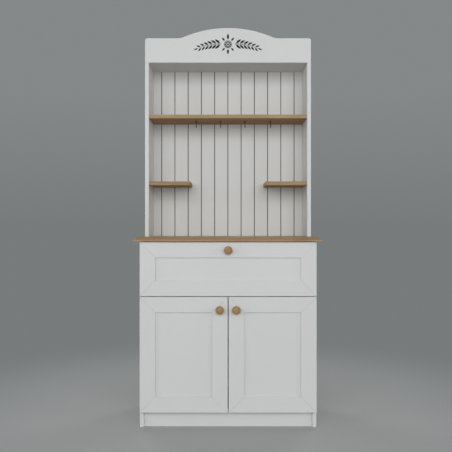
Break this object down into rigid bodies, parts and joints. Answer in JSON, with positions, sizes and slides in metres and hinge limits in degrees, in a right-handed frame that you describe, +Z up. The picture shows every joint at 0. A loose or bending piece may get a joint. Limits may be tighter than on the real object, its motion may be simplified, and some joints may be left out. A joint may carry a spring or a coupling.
{
  "type": "coffee bar cabinet",
  "caption": "Free-standing white coffee bar cabinet: drawer over paired framed doors, oak-colour counter, and a grooved-back hutch with open shelves, cup hooks and an arched crown.",
  "frame": {"origin": "on the floor, midway between the sides, and midway between the knob faces and the back", "axes": "+X to the right seen from the front, +Y towards the back, +Z up"},
  "size_m": [0.85, 0.428, 1.866],
  "materials": {
    "white_paint": "white satin paint on board",
    "oak": "oak-colour matt laminate",
    "knob_wood": "turned, oiled",
    "drawer_wood": "clear-sealed pale ply",
    "black_metal": "black coated wire",
    "zinc_steel": "bright zinc"
  },
  "bodies": {
    "cabinet": {"base_side_left": "white_paint", "base_side_right": "white_paint", "plinth": "white_paint", "base_bottom": "white_paint", "drawer_divider": "white_paint", "base_back": "white_paint", "stretcher_front": "white_paint", "stretcher_rear": "white_paint", "inner_shelf": "white_paint", "counter_top": "oak", "hutch_side_left": "white_paint", "hutch_side_right": "white_paint", "crown_board": "white_paint", "hutch_top": "white_paint", "hutch_back": "white_paint", "long_shelf": "oak", "short_shelf_left": "oak", "short_shelf_right": "oak", "cup_hook_1": "black_metal", "cup_hook_2": "black_metal", "cup_hook_3": "black_metal", "cup_hook_4": "black_metal", "runner_cabinet_left": "zinc_steel", "runner_cabinet_right": "zinc_steel", "left_upper_hinge_arm": "zinc_steel", "left_lower_hinge_arm": "zinc_steel", "right_upper_hinge_arm": "zinc_steel", "right_lower_hinge_arm": "zinc_steel"},
    "drawer": {"drawer_front_left_stile": "white_paint", "drawer_front_right_stile": "white_paint", "drawer_front_top_rail": "white_paint", "drawer_front_bottom_rail": "white_paint", "drawer_front_panel": "white_paint", "drawer_knob": "knob_wood", "drawer_box_left": "drawer_wood", "drawer_box_right": "drawer_wood", "drawer_box_front": "drawer_wood", "drawer_box_back": "drawer_wood", "drawer_box_bottom": "drawer_wood", "runner_drawer_left": "zinc_steel", "runner_drawer_right": "zinc_steel"},
    "runner_middles": {"runner_middle_left": "zinc_steel", "runner_middle_right": "zinc_steel"},
    "left_door": {"left_door_left_stile": "white_paint", "left_door_right_stile": "white_paint", "left_door_top_rail": "white_paint", "left_door_bottom_rail": "white_paint", "left_door_panel": "white_paint", "left_door_knob": "knob_wood", "left_upper_hinge_cup": "zinc_steel", "left_lower_hinge_cup": "zinc_steel"},
    "right_door": {"right_door_left_stile": "white_paint", "right_door_right_stile": "white_paint", "right_door_top_rail": "white_paint", "right_door_bottom_rail": "white_paint", "right_door_panel": "white_paint", "right_door_knob": "knob_wood", "right_upper_hinge_cup": "zinc_steel", "right_lower_hinge_cup": "zinc_steel"}
  },
  "joints": [
    {"name": "drawer_slide", "type": "slide", "parent": "cabinet", "child": "drawer", "axis": [0, -1, 0], "range_m": [0, 0.3]},
    {"name": "runner_middle_slide", "type": "slide", "parent": "cabinet", "child": "runner_middles", "axis": [0, -1, 0], "range_m": [0, 0.15]},
    {"name": "left_door_hinge", "type": "hinge", "parent": "cabinet", "child": "left_door", "pos_m": [-0.391, -0.17725, 0.3316], "axis": [0, 0, -1], "range_deg": [0, 105]},
    {"name": "right_door_hinge", "type": "hinge", "parent": "cabinet", "child": "right_door", "pos_m": [0.391, -0.17725, 0.3316], "axis": [0, 0, 1], "range_deg": [0, 105]}
  ],
  "couplings": [
    {"joint": "runner_middle_slide", "follows": "drawer_slide", "ratio": 0.5}
  ]
}
